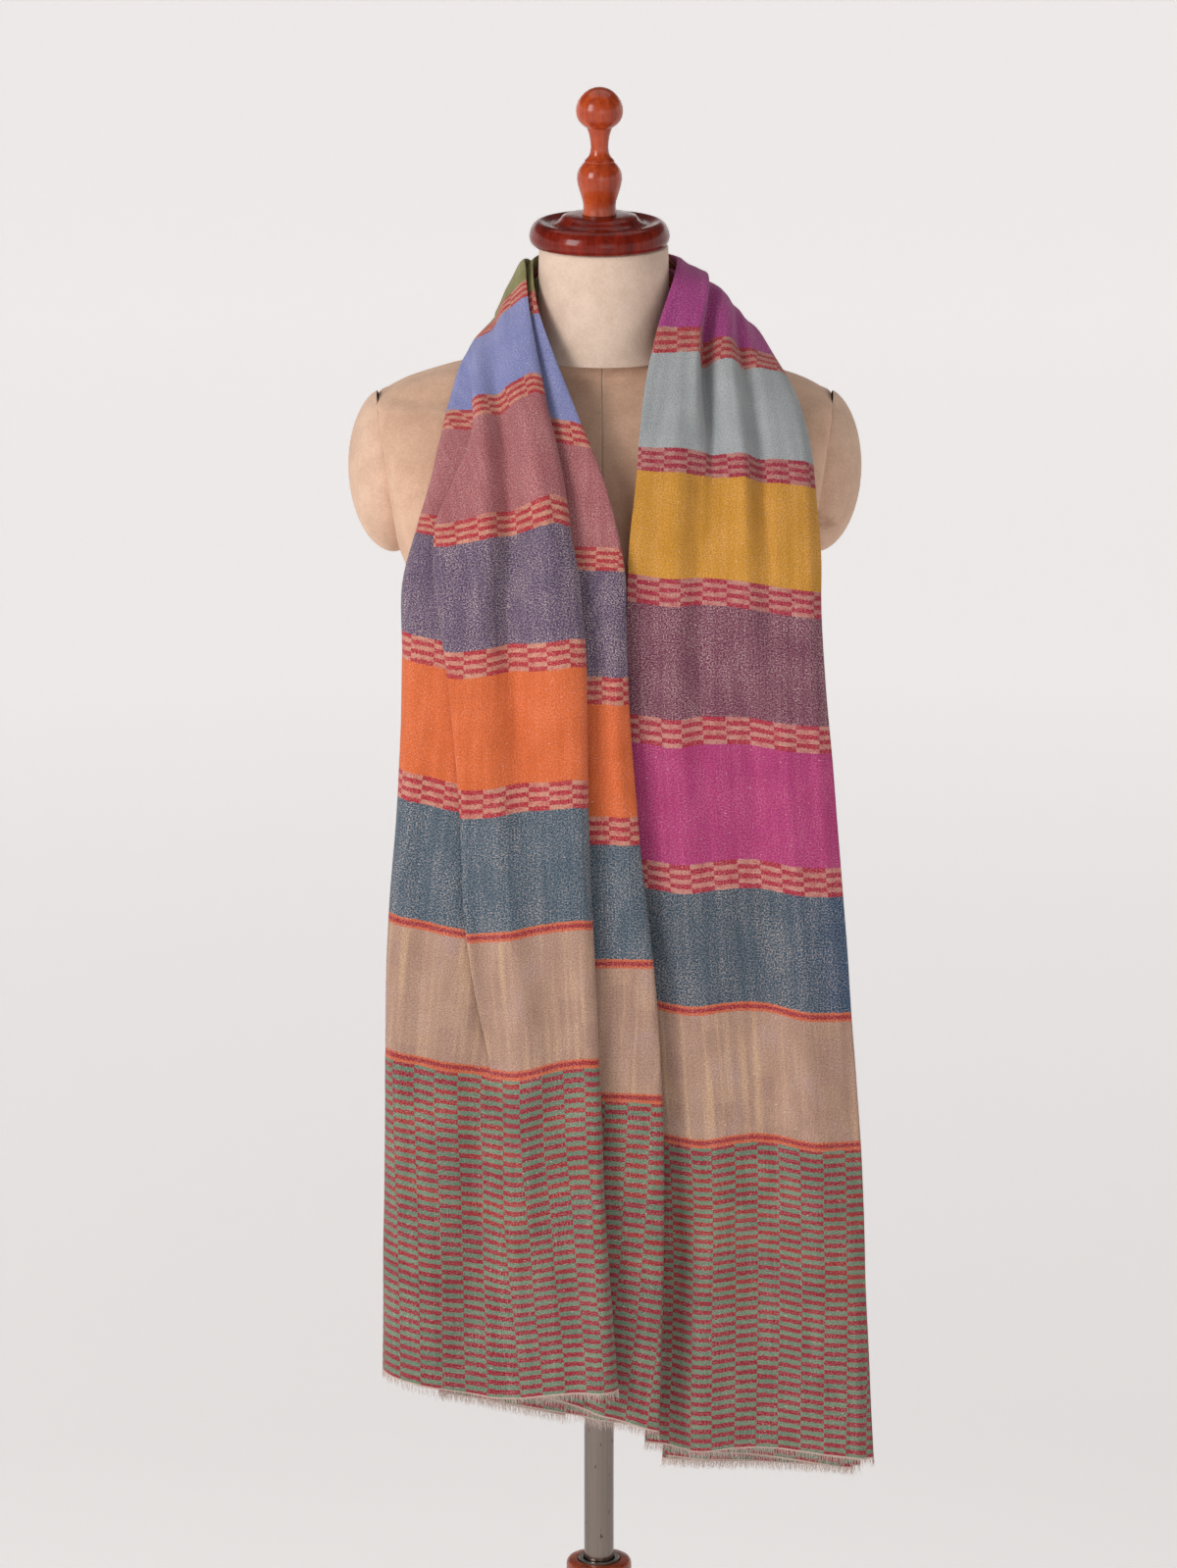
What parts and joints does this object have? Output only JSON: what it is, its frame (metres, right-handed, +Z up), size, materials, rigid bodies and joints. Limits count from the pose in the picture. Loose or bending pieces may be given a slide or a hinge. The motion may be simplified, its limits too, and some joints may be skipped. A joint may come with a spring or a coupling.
{
  "type": "pashmina shawl on dress form stand",
  "caption": "Long striped and checked wool shawl draped round the neck of a limbless dress form, both ends hanging in front, on a height-adjustable pole and round foot.",
  "frame": {"origin": "centre of the foot's flat underside, on the floor and on the pole's axis", "axes": "+Z up along the pole; the form's front looks along -Y; +X is to the viewer's right as seen from the front"},
  "size_m": [0.3921, 0.38, 1.517],
  "materials": {
    "shawl_left": "fine twill wool, soft sheen, striped and checked",
    "shawl_nape": "fine twill wool, soft sheen, striped and checked",
    "shawl_right": "fine twill wool, soft sheen, striped and checked",
    "fringe": "short soft eyelash fringe",
    "form_cloth": "suede-like cover cloth",
    "neck_cloth": "suede-like cover cloth, paler",
    "cap_wood": "dark gloss varnish",
    "finial_wood": "red-brown gloss varnish",
    "pole_steel": "polished tube",
    "plain_steel": "plain",
    "base_wood": "clear satin varnish",
    "knob_plastic": "milky"
  },
  "bodies": {
    "stand": {"base": "base_wood", "sleeve": "plain_steel"},
    "clamp": {"clamp_knob": "knob_plastic"},
    "mast": {"pole": "pole_steel", "pole_flange": "plain_steel"},
    "form": {"torso": "form_cloth", "neck": "neck_cloth", "armhole_plate_left": "form_cloth", "armhole_plate_right": "form_cloth", "neck_cap": "cap_wood", "finial": "finial_wood", "shawl_left": "shawl_left", "shawl_nape": "shawl_nape", "shawl_right": "shawl_right", "fringe_left": "fringe", "fringe_right": "fringe"}
  },
  "joints": [
    {"name": "pole_slide", "type": "slide", "parent": "stand", "child": "mast", "axis": [0, 0, 1], "range_m": [-0.07, 0.1]},
    {"name": "form_turn", "type": "hinge", "parent": "mast", "child": "form", "pos_m": [0, 0, 0.73], "axis": [0, 0, 1], "continuous": true},
    {"name": "knob_turn", "type": "hinge", "parent": "stand", "child": "clamp", "pos_m": [0, 0, 0.372], "axis": [-0.788, -0.6157, 0], "continuous": true}
  ]
}
